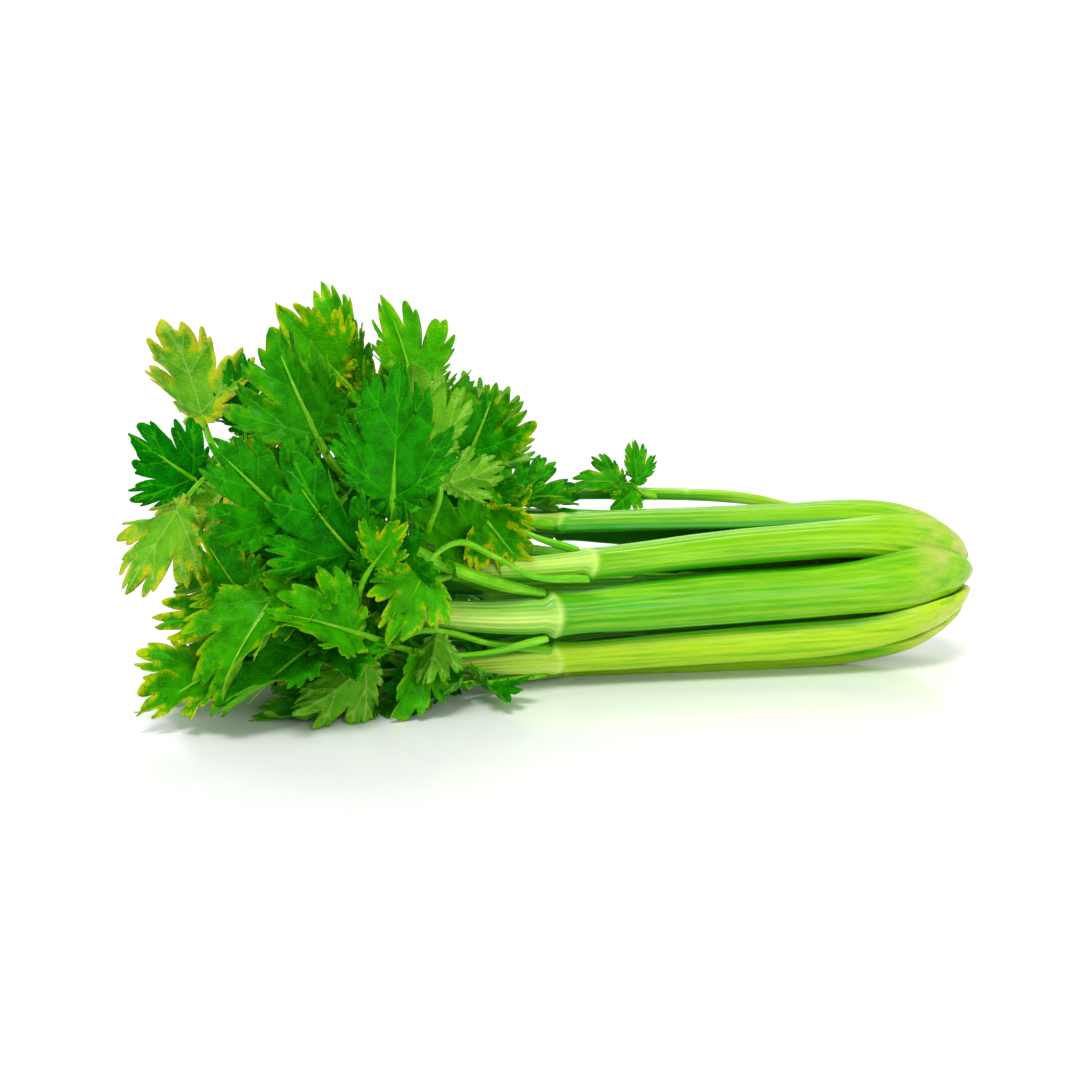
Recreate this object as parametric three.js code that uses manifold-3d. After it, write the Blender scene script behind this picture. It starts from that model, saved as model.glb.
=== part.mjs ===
// A head of celery lying on its side: a short root crown, a ring of wide ribs round it, narrower ribs
// inside them, and at the far end of each rib the leaves it carries. Millimetres, +Z up. The head is
// designed along X with its cut root at X = 0 and its leaves towards -X, resting on Z = 0; the last lines
// centre it on its box.
//
// Every rib and leaf is one closed loft of rings. Each loft starts as a fan round a centre point and ends
// as a fan from the first point of its last ring, so a reader of the mesh can tell its two ends and its
// first column.
import * as THREE from "three";
import { mergeVertices } from "three/addons/utils/BufferGeometryUtils.js";
import Module from "manifold-3d";

const wasm = await Module();
wasm.setup();

// The head, in millimetres.
const HEAD_RADIUS = 43; // outside of the outer ribs where they lie closest together
const AXIS_HEIGHT = 41; // of the head's axis, 2 mm less than its radius: the lowest rib is pressed flat
const BUTT_LENGTH = 85; // over which the ribs sweep in to the root
const BUTT_FULLNESS = 2.5; // how blunt that sweep is: 2 makes it a quarter of an ellipse
const CUT_RADIUS = 8; // outside of the ribs where the root is cut
const ROOT_LIFT = 4; // how much higher the root lies than the head's axis
const ROOT_LIFT_LENGTH = 110; // over which it comes down
const GAP = 0.35; // least clearance between neighbours

// How much wider than its share of the ring an outer rib is at the root, where it also turns by as many
// radians about its length, which lifts one of its edges over the next rib's.
const LAP = 0.32;

// The root crown's profile: distance from the cut, radius.
const CROWN = [
  [0, 3.6],
  [1, 4.4],
  [8, 10.5],
  [16, 12.5],
  [26, 9],
  [34, 2],
];

// How far from its root each of a rib's sections is taken.
const OUTER_STATIONS = [0, 3, 8, 16, 28, 44, 64, 90, 120, 150, 180];
const INNER_STATIONS = [0, 6, 18, 40, 70, 110];

// Outer ribs: angle round the head in degrees, from its front (-Y) up over its top; width and thickness at
// the widest; length to the first joint; how far that joint has moved off the ring (lean: y, z); where the
// stem that goes on from it ends (x, y, z), at the second joint; and how many such ribs would fill the ring.
const OUTER_SIZE = {
  from: 1.5,
  radius: HEAD_RADIUS,
  cut: CUT_RADIUS,
  thickness: 9.5,
  share: 8,
  lap: LAP,
  stations: OUTER_STATIONS,
};
const OUTER = [
  {
    name: "rib_front_top",
    angle: 51,
    width: 24,
    length: 205,
    lean: [-8, -7],
    end: [-276, -48, 66],
    share: 8.6,
  },
  {
    name: "rib_front_middle",
    angle: 6,
    width: 30,
    length: 224,
    lean: [-2, -5],
    end: [-318, -54, 54],
    share: 7.8,
    radius: 45,
  },
  {
    name: "rib_front_bottom",
    angle: -40,
    width: 26,
    length: 222,
    lean: [0, -2],
    end: [-296, -38, 14],
    share: 8.4,
  },
  { name: "rib_under", angle: -85, width: 27, length: 212, lean: [3, 0], end: [-285, 2, 8] },
  { name: "rib_back_bottom", angle: -130, width: 27, length: 218, lean: [6, 1], end: [-290, 42, 14] },
  { name: "rib_back_middle", angle: -175, width: 28, length: 226, lean: [11, 2], end: [-302, 62, 42] },
  { name: "rib_back_top", angle: 140, width: 27, length: 206, lean: [9, 6], end: [-284, 48, 84] },
  { name: "rib_top", angle: 95, width: 27, length: 214, lean: [4, -2], end: [-292, 8, 96] },
].map((rib) => ({ ...OUTER_SIZE, ...rib }));

// Inner ribs, hidden between the outer ones: two smaller rings.
const INNER_SIZE = { from: 21, radius: 22.5, cut: 12, width: 19, thickness: 6.5, length: 176 };
const HEART_SIZE = { from: 36, radius: 12, cut: 8, width: 13, thickness: 6, length: 150 };
const INNER = [...ringOf("rib_inner", 5, 15, 80, INNER_SIZE), ...ringOf("rib_heart", 2, 50, 70, HEART_SIZE)];

// A ring of equal ribs of one size, the first at the angle turn, whose stems reach on past their joints.
function ringOf(name, count, turn, reach, size) {
  return Array.from({ length: count }, (_, i) => {
    const angle = turn + (360 * i) / count;
    const spread = 1.35 * size.radius;
    const [y, z] = [-Math.cos(radians(angle)) * spread, AXIS_HEIGHT + Math.sin(radians(angle)) * spread];
    const place = { angle, share: count, lean: [0, 0], end: [-size.length - reach, y, z] };
    return { name: name + "_" + (i + 1), lap: 0, stations: INNER_STATIONS, ...place, ...size };
  });
}

// The slender shoot that lies along the top of the head: its path, and its size.
const SHOOT = {
  name: "shoot_top",
  path: [
    [-68, 32, 76],
    [-86, 33, 78],
    [-106, 36, 81.5],
    [-130, 39, 83.5],
    [-160, 42, 84.5],
    [-192, 45, 85],
    [-222, 50, 84],
  ],
  width: 7.5,
  thickness: 6,
};

// Leaves, by the rib whose joint or end they grow from. Each one's stem ends at the base of its blade; the
// blade runs on to its tip, with its upper side towards face. A stem sets out along its rib and comes in
// along its blade, each for the share bow of its reach.
const LEAVES = {
  rib_front_top: [
    { from: "joint", base: [-260, -34, 94], tip: [-238, -46, 66], face: [-0.3, -0.9, 0.5], width: 38 },
    { from: "joint", base: [-288, -76, 76], tip: [-308, -88, 40], face: [-0.4, -0.9, 0.1], width: 36 },
    { from: "end", base: [-316, -66, 72], tip: [-354, -80, 124], face: [-0.5, -0.8, -0.1], width: 54 },
    { from: "end", base: [-281, -64, 120], tip: [-298, -56, 170], face: [0.3, 0.9, 0.2], width: 40 },
    { from: "end", base: [-328, -50, 62], tip: [-368, -56, 88], face: [-0.3, -0.8, 0.6], width: 42 },
  ],
  rib_front_middle: [
    {
      from: "joint",
      base: [-310, -76, 98],
      tip: [-302, -62, 172],
      face: [-0.2, -0.9, 0.2],
      width: 54,
      stem: 6,
      bow: 0.16,
    },
    { from: "joint", base: [-318, -80, 42], tip: [-366, -100, 60], face: [-0.1, -0.8, 0.6], width: 44 },
    { from: "end", base: [-356, -70, 68], tip: [-392, -94, 14], face: [-0.6, -0.7, 0.3], width: 52 },
    { from: "end", base: [-342, -62, 90], tip: [-384, -72, 134], face: [-0.3, -0.9, 0.4], width: 56 },
    { from: "end", base: [-344, -80, 56], tip: [-366, -90, 94], face: [-0.1, -0.9, 0.3], width: 34 },
  ],
  rib_front_bottom: [
    { from: "joint", base: [-302, -74, 36], tip: [-342, -92, 12], face: [0.1, 0.8, -0.6], width: 38 },
    { from: "joint", base: [-266, -46, 8], tip: [-308, -60, 4], face: [-0.1, -0.4, 0.9], width: 40 },
    { from: "end", base: [-338, -86, 38], tip: [-384, -114, 4], face: [-0.4, -0.6, 0.7], width: 50 },
    { from: "end", base: [-380, -62, 32], tip: [-420, -78, 10], face: [-0.4, -0.7, 0.6], width: 44 },
    { from: "end", base: [-324, -56, 8], tip: [-370, -68, 3], face: [-0.1, -0.3, 0.9], width: 44 },
  ],
  rib_under: [
    { from: "joint", base: [-286, -18, 8], tip: [-334, -26, 4], face: [0, -0.2, 1], width: 44 },
    { from: "end", base: [-350, -20, 14], tip: [-406, -34, 8], face: [-0.2, -0.4, 0.9], width: 48 },
    { from: "end", base: [-378, -42, 40], tip: [-424, -56, 46], face: [-0.3, -0.8, 0.5], width: 42 },
    { from: "end", base: [-334, 18, 8], tip: [-388, 24, 5], face: [0, 0.1, 1], width: 46 },
  ],
  rib_back_bottom: [
    { from: "joint", base: [-264, 60, 14], tip: [-294, 92, 4], face: [0.1, 0.4, 0.9], width: 44 },
    { from: "end", base: [-344, 54, 30], tip: [-402, 52, 46], face: [-0.2, 0.5, 0.8], width: 54 },
    { from: "end", base: [-324, 72, 20], tip: [-368, 102, 5], face: [-0.2, 0.5, 0.9], width: 52 },
    { from: "end", base: [-336, 40, 10], tip: [-394, 40, 5], face: [0, 0.2, 1], width: 46 },
  ],
  rib_back_middle: [
    { from: "joint", base: [-262, 78, 58], tip: [-286, 100, 96], face: [0.4, 0.9, 0.2], width: 48 },
    { from: "joint", base: [-262, 80, 36], tip: [-304, 104, 24], face: [0.2, 0.8, 0.4], width: 46 },
    { from: "end", base: [-352, 66, 70], tip: [-408, 62, 100], face: [-0.3, 0.8, 0.4], width: 56 },
    { from: "end", base: [-334, 84, 62], tip: [-370, 100, 110], face: [-0.2, 0.9, 0.2], width: 54 },
    { from: "end", base: [-342, 84, 36], tip: [-400, 94, 30], face: [-0.2, 0.9, 0.4], width: 50 },
  ],
  rib_back_top: [
    { from: "joint", base: [-246, 44, 108], tip: [-252, 56, 146], face: [0.4, 0.8, 0.3], width: 44 },
    { from: "joint", base: [-240, 68, 84], tip: [-228, 92, 100], face: [0.5, 0.6, 0.5], width: 40 },
    { from: "end", base: [-388, 2, 130], tip: [-402, 14, 182], face: [0.3, 0.9, 0.1], width: 48 },
    { from: "end", base: [-316, 16, 148], tip: [-350, 24, 188], face: [-0.4, -0.7, 0.5], width: 42 },
    { from: "end", base: [-316, 60, 112], tip: [-344, 74, 170], face: [-0.2, 0.9, 0.2], width: 54 },
  ],
  rib_top: [
    { from: "joint", base: [-262, -14, 112], tip: [-246, -12, 150], face: [0.2, -0.8, 0.4], width: 48 },
    { from: "joint", base: [-232, 26, 86], tip: [-194, 34, 84], face: [0.1, -0.6, 0.8], width: 40 },
    { from: "end", base: [-332, -30, 122], tip: [-356, -18, 180], face: [-0.4, -0.9, 0.3], width: 58 },
    { from: "end", base: [-284, -2, 140], tip: [-298, 10, 192], face: [0.3, -0.9, 0.2], width: 44 },
    { from: "end", base: [-306, 20, 140], tip: [-322, 28, 196], face: [-0.2, -0.9, 0.3], width: 36 },
  ],
  rib_inner_1: [
    { from: "end", base: [-368, 6, 122], tip: [-368, 14, 162], face: [-0.2, -0.9, 0.2], width: 28 },
    { from: "end", base: [-390, -22, 106], tip: [-426, -26, 134], face: [-0.5, -0.8, 0.3], width: 42 },
  ],
  rib_inner_2: [
    { from: "end", base: [-402, -30, 104], tip: [-434, -50, 66], face: [0.7, 0.6, 0.2], width: 42 },
  ],
  rib_inner_5: [
    { from: "end", base: [-320, -88, 78], tip: [-304, -96, 100], face: [-0.4, -0.9, 0.1], width: 28 },
  ],
  shoot_top: [
    { from: "joint", base: [-168, 35, 91], tip: [-200, 34, 93], face: [0.1, -0.7, 0.7], width: 24, stem: 1.8 },
  ],
};

function radians(degrees) {
  return THREE.MathUtils.degToRad(degrees);
}
const lerp = THREE.MathUtils.lerp;
const smooth = (x, low, high) => THREE.MathUtils.smoothstep(x, low, high);
const vec = (x, y, z) => new THREE.Vector3(x, y, z);

// A closed solid through rings of equally many points, which turn anticlockwise about the way the rings go.
// The two halves of a ring split their quads along facing diagonals, so that the sides of a thin blade stay
// parallel.
function loft(rings) {
  const count = rings[0].length;
  const last = rings.length - 1;
  const centre = rings[0].reduce((sum, p) => sum.add(p), vec(0, 0, 0)).divideScalar(count);
  const at = (i, j) => 1 + i * count + (j % count);
  const faces = [];
  for (let j = 0; j < count; j++) faces.push(0, at(0, j + 1), at(0, j));
  for (let i = 0; i < last; i++)
    for (let j = 0; j < count; j++) {
      const [a, b, c, d] = [at(i, j), at(i, j + 1), at(i + 1, j + 1), at(i + 1, j)];
      if (j < count / 2) faces.push(a, b, d, b, c, d);
      else faces.push(a, b, c, a, c, d);
    }
  for (let j = 1; j + 1 < count; j++) faces.push(at(last, 0), at(last, j), at(last, j + 1));
  const geometry = new THREE.BufferGeometry().setFromPoints([centre, ...rings.flat()]);
  geometry.setIndex(faces);
  geometry.computeVertexNormals();
  return geometry;
}

// Axes at a point of a path: along it, out of its face, and across.
function axesAt(along, face) {
  const t = along.clone().normalize();
  const n = face.clone().addScaledVector(t, -face.dot(t)).normalize();
  return { t, n, b: n.clone().cross(t) };
}

// ---- Ribs ----

// A rib's section, from one edge over the ridged outer side to the other edge and back along the channel:
// [across as a share of the half width, side: 1 outer, -1 inner].
const RIB_SECTION = [
  ...[90, 60, 30, 0, -30, -60, -90].map((a) => [Math.sin(radians(a)), 1]),
  ...[-0.78, -0.4, 0, 0.4, 0.78].map((u) => [u, -1]),
];

const rootLift = (d) => ROOT_LIFT * (1 - smooth(d, 0, ROOT_LIFT_LENGTH));

// Where a rib's middle line is, its width and its thickness, at distance d along X from the cut.
function ribAt(rib, d) {
  const inward = 1 - Math.min(d, BUTT_LENGTH) / BUTT_LENGTH;
  const outside = lerp(rib.cut, rib.radius, Math.sqrt(1 - Math.pow(inward, BUTT_FULLNESS)));
  const thinned = lerp(0.75, 1, smooth(d, 0, 40)) * lerp(1, 0.92, smooth(d, 90, rib.length));
  const thickness = rib.thickness * thinned;
  const radius = outside - thickness / 2;
  const drift = (x) => smooth(x, BUTT_LENGTH, rib.length * 1.25);
  const moved = drift(d) / drift(rib.length);
  const angle = radians(rib.angle);
  const centre = vec(
    -d,
    -Math.cos(angle) * radius + rib.lean[0] * moved,
    AXIS_HEIGHT + rootLift(d) + Math.sin(angle) * radius + rib.lean[1] * moved,
  );
  const lapping = lerp(1 + rib.lap, 1, smooth(d, 15, 100));
  const room = (r) => 2 * r * Math.tan(Math.PI / rib.share) * lapping - 1.2;
  const wanted = Math.min(rib.width * lerp(1, 0.84, smooth(d, 80, rib.length)), room(radius));
  const bend = wanted * wanted * lerp(0.0065, 0.005, smooth(d, 100, rib.length));
  return { centre, width: Math.min(wanted, room(radius - bend)), thickness, bend };
}

// The rings of a rib: from the root to the joint, a swelling at the joint, and the slimmer stem beyond it.
function makeRib(rib) {
  const face = vec(0, -Math.cos(radians(rib.angle)), Math.sin(radians(rib.angle)));
  const before = rib.stations.map((d) => rib.from + d).filter((d) => d < rib.length - 10);
  const rings = [...before, rib.length - 5, rib.length - 1.5].map((d, i, all) => {
    const here = ribAt(rib, d);
    const along = ribAt(rib, d + 0.5).centre.sub(ribAt(rib, d - 0.5).centre);
    const swelling = i === all.length - 1 ? 1.05 : 1;
    const turned = face.clone().applyAxisAngle(vec(1, 0, 0), rib.lap * (1 - smooth(d, 15, 100)));
    return ribRing({ ...here, along, face: turned, width: here.width * swelling });
  });

  // Past the joint: a stem that leaves along the rib and bends to its own end.
  const joint = ribAt(rib, rib.length);
  const along = joint.centre.clone().sub(ribAt(rib, rib.length - 1).centre).normalize();
  const end = vec(...rib.end);
  const reach = end.distanceTo(joint.centre);
  const aside = end.clone().sub(joint.centre).addScaledVector(along, -reach);
  const stemAt = (t) => ({
    centre: joint.centre.clone().addScaledVector(along, reach * t).addScaledVector(aside, t * t),
    along: along.clone().multiplyScalar(reach).addScaledVector(aside, 2 * t),
    width: lerp(joint.width * 0.84, 12, t),
    thickness: lerp(joint.thickness * 0.95, 7, t),
  });
  for (const t of [0.02, 0.1, 0.35, 0.65, 1])
    rings.push(ribRing({ ...stemAt(t), face, bend: lerp(1.5, 0.5, t) }));
  return { ...rib, face, stemAt, geometry: loft(rings) };
}

function ribRing({ centre, along, face, width, thickness, bend }) {
  const { n, b } = axesAt(along, face);
  return RIB_SECTION.map(([u, side]) => {
    const half = (thickness / 2) * Math.pow(1 - u * u, 0.35);
    const p = centre.clone().addScaledVector(b, (u * width) / 2);
    p.addScaledVector(n, side * half - bend * u * u);
    return p.setZ(Math.max(p.z, 0));
  });
}

// The slender shoot: a tube along its path.
function makeShoot({ name, path, width, thickness }) {
  const curve = new THREE.CatmullRomCurve3(path.map((p) => vec(...p)));
  const face = vec(0, 0, 1);
  const rings = Array.from({ length: 11 }, (_, i) => {
    const along = curve.getTangentAt(i / 10);
    return ribRing({ centre: curve.getPointAt(i / 10), along, face, width, thickness, bend: 0 });
  });
  const stemAt = (t) => {
    const at = lerp(0.55, 1, t);
    return { centre: curve.getPointAt(at), along: curve.getTangentAt(at), width, thickness };
  };
  return { name, face, stemAt, geometry: loft(rings) };
}

// ---- Leaves ----

// A leaf's section: across as a share of the half width, and side: 1 upper, -1 lower.
const LEAF_SECTION = [
  [1, 0],
  [0.5, 0.87],
  [0, 1],
  [-0.5, 0.87],
  [-1, 0],
  [-0.5, -0.87],
  [0, -1],
  [0.5, -0.87],
];

// Rows of a blade: how far along it, its half width as a share, and how far its edges reach forward.
const BLADE = [
  [0, 0.07, 0],
  [0.14, 0.54, 0.04],
  [0.3, 0.95, 0.14],
  [0.42, 1, 0.24],
  [0.52, 0.66, 0.14],
  [0.64, 0.72, 0.16],
  [0.8, 0.52, 0.12],
  [0.93, 0.2, 0.05],
  [1, 0.02, 0],
];
const STEM_ROWS = [0, 0.25, 0.5, 0.75];
const BLADE_HALF = 0.6; // half the thickness of a blade
const ARCH = 0.15; // how far a blade's middle bows out, as a share of its length
const CUP = 0.3; // how far its edges turn up, as a share of their distance from its middle
const RUFFLE = 0.15; // how far its edges wave up and down, as a share of that distance

// Where the stems of a rib's leaves start: beside its joint, or next to each other on its end. They are given
// out in the order in which the leaves lie across the rib, so that stems don't cross.
function rootsOf(parent, leaves) {
  const roots = new Map();
  for (const from of ["joint", "end"]) {
    const atJoint = from === "joint";
    const { centre, along, width, thickness } = parent.stemAt(atJoint ? 0.06 : 1);
    const { t, n, b } = axesAt(along, parent.face);
    const across = (leaf) => vec(...leaf.base).sub(centre).dot(b);
    const row = leaves.filter((leaf) => leaf.from === from).sort((p, q) => across(p) - across(q));
    row.forEach((leaf, i) => {
      const middle = row.length === 3 ? i === 1 : row.length === 1 && !atJoint;
      const side = middle ? 0 : i === 0 && (row.length > 1 || across(leaf) < 0) ? -1 : 1;
      const aside = side * (atJoint ? width / 2 + GAP + 1.2 : width * 0.34);
      const ahead = atJoint ? 0 : middle ? 0.6 : 1.6;
      const start = centre.clone().addScaledVector(b, aside).addScaledVector(t, ahead);
      const outward = t.clone().addScaledVector(b, side * (atJoint ? 0.25 : 0.5)).normalize();
      const size = atJoint ? [1.1, thickness * 0.3] : [width * 0.15, 1.6];
      roots.set(leaf, { start, t: outward, n, size });
    });
  }
  return roots;
}

// A leaf whose stem starts at its root and whose blade has moved by a shift.
function makeLeaf(leaf, root, shift) {
  const { width, stem = 3, bow = 0.4 } = leaf;
  const base = vec(...leaf.base).add(shift);
  const tip = vec(...leaf.tip).add(shift);
  const face = vec(...leaf.face);
  const length = base.distanceTo(tip);
  const rise = face.clone().normalize().multiplyScalar(ARCH * length);
  const blade = new THREE.QuadraticBezierCurve3(base, base.clone().lerp(tip, 0.5).add(rise), tip);
  const reach = root.start.distanceTo(base);
  const stalk = new THREE.CubicBezierCurve3(
    root.start,
    root.start.clone().addScaledVector(root.t, reach * bow).addScaledVector(shift, 0.8),
    base.clone().addScaledVector(blade.getTangent(0), -reach * bow),
    base,
  );

  const rings = STEM_ROWS.map((s) => {
    const t = stalk.getTangent(s);
    const from = axesAt(t, root.n);
    const to = axesAt(t, face);
    const turn = Math.atan2(from.n.clone().cross(to.n).dot(t), from.n.dot(to.n));
    const n = from.n.clone().applyAxisAngle(t, turn * smooth(s, 0, 1));
    const [w, h] = s === 0 ? root.size : [stem / 2, stem / 2];
    const b = n.clone().cross(t);
    return LEAF_SECTION.map(([u, side]) => {
      const p = stalk.getPoint(s).addScaledVector(b, u * w).addScaledVector(n, side * h);
      return p.setZ(Math.max(p.z, 0.3));
    });
  });
  for (const [s, share, forward] of BLADE)
    rings.push(
      LEAF_SECTION.map(([u, side]) => {
        const at = Math.min(s + forward * Math.pow(Math.abs(u), 1.3), 1);
        const { n, b } = axesAt(blade.getTangent(at), face);
        const half = BLADE_HALF + (u === 0 ? lerp(0.9, 0, at) : 0);
        const across = (u * share * width) / 2;
        const wave = Math.sin(7 * s + 2 * u + leaf.base[0]) * RUFFLE;
        const lift = (CUP + wave) * Math.abs(across * u);
        const p = blade.getPoint(at).addScaledVector(b, across).addScaledVector(n, lift);
        p.setZ(Math.max(p.z, BLADE_HALF + 0.1)).addScaledVector(n, side * half);
        return p.setZ(Math.max(p.z, 0));
      }),
    );
  return loft(rings);
}

const solidOf = (geometry) =>
  new wasm.Manifold(
    new wasm.Mesh({
      numProp: 3,
      vertProperties: geometry.getAttribute("position").array,
      triVerts: new Uint32Array(geometry.index.array),
    }),
  );

const boxOf = (geometry) => new THREE.Box3().setFromBufferAttribute(geometry.getAttribute("position"));

// Tries ever larger shifts, evenly spread over all directions, until a leaf is clear of everything in place.
function settle(leaf, root, placed) {
  for (let k = 0; k < 900; k++) {
    const fromPole = Math.acos(1 - 2 * ((k * 0.618) % 1));
    const shift = vec(0, 0, 0).setFromSphericalCoords(1.3 * Math.sqrt(k), fromPole, 2.4 * k);
    const geometry = makeLeaf(leaf, root, shift);
    const solid = solidOf(geometry);
    const box = boxOf(geometry).expandByScalar(GAP);
    if (placed.every((other) => !other.box.intersectsBox(box) || solid.minGap(other.solid, 1) >= GAP))
      return geometry;
  }
  throw new Error("no clear place for a leaf at " + leaf.base);
}

// ---- Assembly ----

const head = new THREE.Group();
const RIB_SKIN = { color: 0x8fd128, roughness: 0.3, metalness: 0 };
const CROWN_SKIN = { color: 0xd8d6a0, roughness: 0.6, metalness: 0 };
const LEAF_SKIN = { color: 0x2f9a1c, roughness: 0.45, metalness: 0 };
const placed = [];

function addNode(name, geometry, skin) {
  const mesh = new THREE.Mesh(geometry, new THREE.MeshStandardMaterial(skin));
  mesh.name = name;
  head.add(mesh);
  placed.push({ solid: solidOf(geometry), box: boxOf(geometry) });
}

const crownProfile = [[0, 0], ...CROWN.map(([d, r]) => [r, d]), [0, CROWN.at(-1)[0] + 1]];
const crownGeometry = new THREE.LatheGeometry(
  crownProfile.map(([r, d]) => new THREE.Vector2(r, d)),
  20,
);
crownGeometry.rotateZ(Math.PI / 2).translate(0, 0, AXIS_HEIGHT + ROOT_LIFT);
crownGeometry.deleteAttribute("normal").deleteAttribute("uv");
addNode("root_crown", mergeVertices(crownGeometry, 1e-3), CROWN_SKIN);

const stalks = [...[...OUTER, ...INNER].map(makeRib), makeShoot(SHOOT)];
for (const stalk of stalks) addNode(stalk.name, stalk.geometry, RIB_SKIN);

for (const [name, leaves] of Object.entries(LEAVES)) {
  const roots = rootsOf(stalks.find((stalk) => stalk.name === name), leaves);
  leaves.forEach((leaf, i) => {
    const geometry = settle(leaf, roots.get(leaf), placed);
    addNode(name.replace(/rib|top$/, "leaf") + "_" + (i + 1), geometry, LEAF_SKIN);
  });
}

// The origin is the middle of the head's box, on the surface it lies on.
const box = new THREE.Box3().setFromObject(head);
const middle = box.getCenter(vec(0, 0, 0));
head.position.set(-middle.x, -middle.y, -box.min.z);

export default head;
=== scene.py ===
import math

import bmesh
import bpy
import numpy as np
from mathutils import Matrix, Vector
from mathutils.geometry import delaunay_2d_cdt


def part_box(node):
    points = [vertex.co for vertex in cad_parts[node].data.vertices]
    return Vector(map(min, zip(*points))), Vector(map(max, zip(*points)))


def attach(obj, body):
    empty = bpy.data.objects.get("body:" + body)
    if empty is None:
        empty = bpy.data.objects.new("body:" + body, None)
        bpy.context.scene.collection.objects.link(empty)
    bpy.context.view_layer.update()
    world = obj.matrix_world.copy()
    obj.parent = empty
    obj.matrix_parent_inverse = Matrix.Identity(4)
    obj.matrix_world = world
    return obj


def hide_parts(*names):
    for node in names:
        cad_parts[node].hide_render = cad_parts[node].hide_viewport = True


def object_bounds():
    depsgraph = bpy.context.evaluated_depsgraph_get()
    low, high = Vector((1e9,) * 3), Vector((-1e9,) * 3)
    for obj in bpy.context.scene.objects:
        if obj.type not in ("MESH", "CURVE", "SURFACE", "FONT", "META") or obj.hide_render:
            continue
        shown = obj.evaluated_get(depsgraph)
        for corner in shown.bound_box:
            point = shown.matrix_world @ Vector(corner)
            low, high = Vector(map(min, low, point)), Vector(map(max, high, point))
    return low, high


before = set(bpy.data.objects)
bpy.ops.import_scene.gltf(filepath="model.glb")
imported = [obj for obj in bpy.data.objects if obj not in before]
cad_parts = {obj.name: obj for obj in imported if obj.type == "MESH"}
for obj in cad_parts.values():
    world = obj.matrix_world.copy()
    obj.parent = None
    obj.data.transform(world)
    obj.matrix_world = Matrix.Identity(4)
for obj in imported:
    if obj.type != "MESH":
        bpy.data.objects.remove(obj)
cad_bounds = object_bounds()

MM = 0.001
ONE_TURN = 6.28  # in radians, near enough for waves with no set phase


# ---- Reading the frame ----

def rings_of(node, count):
    """The rings of a lofted node, as an array [ring][point][xyz]. Ring 0 is at the cap that is a fan round
    its middle. The far cap is a fan round point 0 of its ring."""
    bm = bmesh.new()
    bm.from_mesh(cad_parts[node].data)
    bmesh.ops.remove_doubles(bm, verts=bm.verts, dist=1e-5)
    bm.verts.ensure_lookup_table()
    degree = {v: len(v.link_edges) for v in bm.verts}
    mark = max(bm.verts, key=lambda v: (degree[v], v.index))
    pole = max((v for v in bm.verts if v is not mark), key=lambda v: (degree[v], v.index))
    assert degree[mark] == count + 2 and degree[pole] == count, node

    level = {pole: 0}
    border = [pole]
    while border:
        border = [e.other_vert(v) for v in border for e in v.link_edges]
        border = [v for v in dict.fromkeys(border) if v not in level]
        depth = max(level.values()) + 1
        level.update((v, depth) for v in border)

    following = {}
    for face in bm.faces:
        top = max(level[v] for v in face.verts)
        for loop in face.loops:
            x, y = loop.vert, loop.link_loop_next.vert
            if level[x] == level[y] == top and min(level[v] for v in face.verts) == top - 1:
                following[y] = x

    def onward(first):
        ring = [first]
        while len(ring) < count:
            ring.append(following[ring[-1]])
        return ring

    rings = [onward(mark)]
    for depth in range(level[mark] - 1, 0, -1):
        lone = rings[-1][count // 2]
        linked = (e.other_vert(lone) for e in lone.link_edges)
        below = onward(next(v for v in linked if level[v] == depth))
        rings.append(below[count // 2:] + below[:count // 2])
    places = np.array([[v.co[:] for v in ring] for ring in reversed(rings)])
    bm.free()
    return places


# ---- Curves and meshes ----

def slopes(values, knots):
    """Tangents of a smooth curve through values at unevenly spaced knots."""
    steps = np.diff(knots).reshape((-1,) + (1,) * (values.ndim - 1))
    rise = np.diff(values, axis=0) / steps
    middle = (rise[:-1] * steps[1:] + rise[1:] * steps[:-1]) / (steps[1:] + steps[:-1])
    return np.concatenate([rise[:1], middle, rise[-1:]])


def through(values, knots, at):
    """The smooth curve through values, at other parameters."""
    tangents = slopes(values, knots)
    i = np.clip(np.searchsorted(knots, at, side="right") - 1, 0, len(knots) - 2)
    step = (knots[i + 1] - knots[i]).reshape((-1,) + (1,) * (values.ndim - 1))
    t = ((at - knots[i]) / (knots[i + 1] - knots[i])).reshape(step.shape)
    a = values[i] * (1 + 2 * t) * (1 - t) ** 2 + values[i + 1] * t * t * (3 - 2 * t)
    return a + step * (tangents[i] * t * (1 - t) ** 2 - tangents[i + 1] * t * t * (1 - t))


def smoothstep(x, low, high):
    t = np.clip((np.asarray(x, float) - low) / (high - low), 0, 1)
    return t * t * (3 - 2 * t)


def unit(v):
    return v / np.maximum(np.linalg.norm(v, axis=-1, keepdims=True), 1e-12)


def wavy(rng, count):
    """A smooth function of position, for slow unevenness: a few sine waves in random directions."""
    turns = unit(rng.normal(size=(count, 3)))
    return lambda p, size: sum(np.sin(p @ k * ONE_TURN / size + 9 * i) for i, k in enumerate(turns)) / count


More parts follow.
